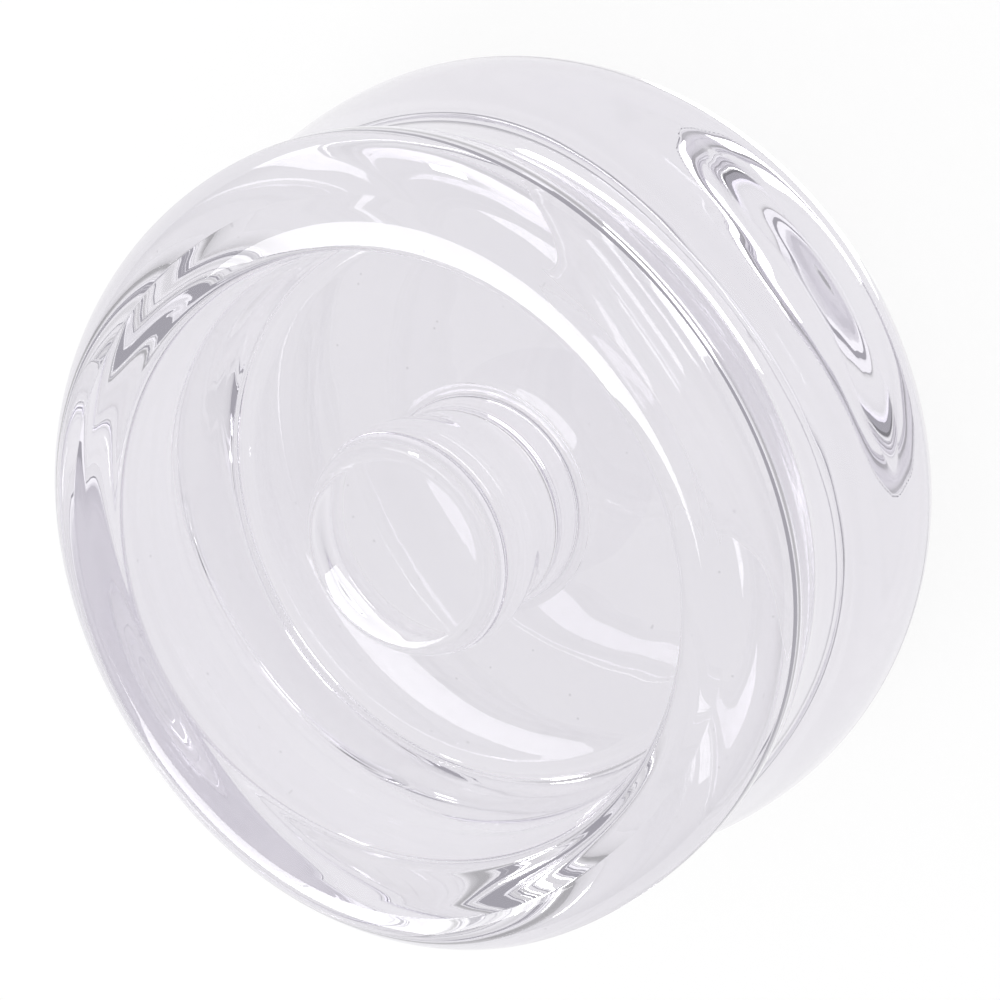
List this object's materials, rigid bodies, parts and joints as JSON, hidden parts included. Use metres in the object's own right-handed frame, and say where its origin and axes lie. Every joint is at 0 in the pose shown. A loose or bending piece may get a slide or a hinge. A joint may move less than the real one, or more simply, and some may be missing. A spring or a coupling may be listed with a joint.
{
  "type": "glass insulator",
  "caption": "Heavy clear glass insulator: thick round cup with a rolled rim and an outer waist groove, and a mushroom grip knob on the cavity floor.",
  "frame": {"origin": "centre of the flat base, on the axis of the cup", "axes": "+Z along the cup's axis, out of its mouth; the cup is round, so +X and +Y are any two directions square to it"},
  "size_m": [0.1, 0.1, 0.0515],
  "materials": {
    "body_glass": "fire-polished clear lead-free glass, faint lavender grey in thick places",
    "knob_glass": "fire-polished clear glass, hand-gathered"
  },
  "bodies": {
    "root": {"glass_body": "body_glass", "centre_knob": "knob_glass"}
  },
  "joints": []
}
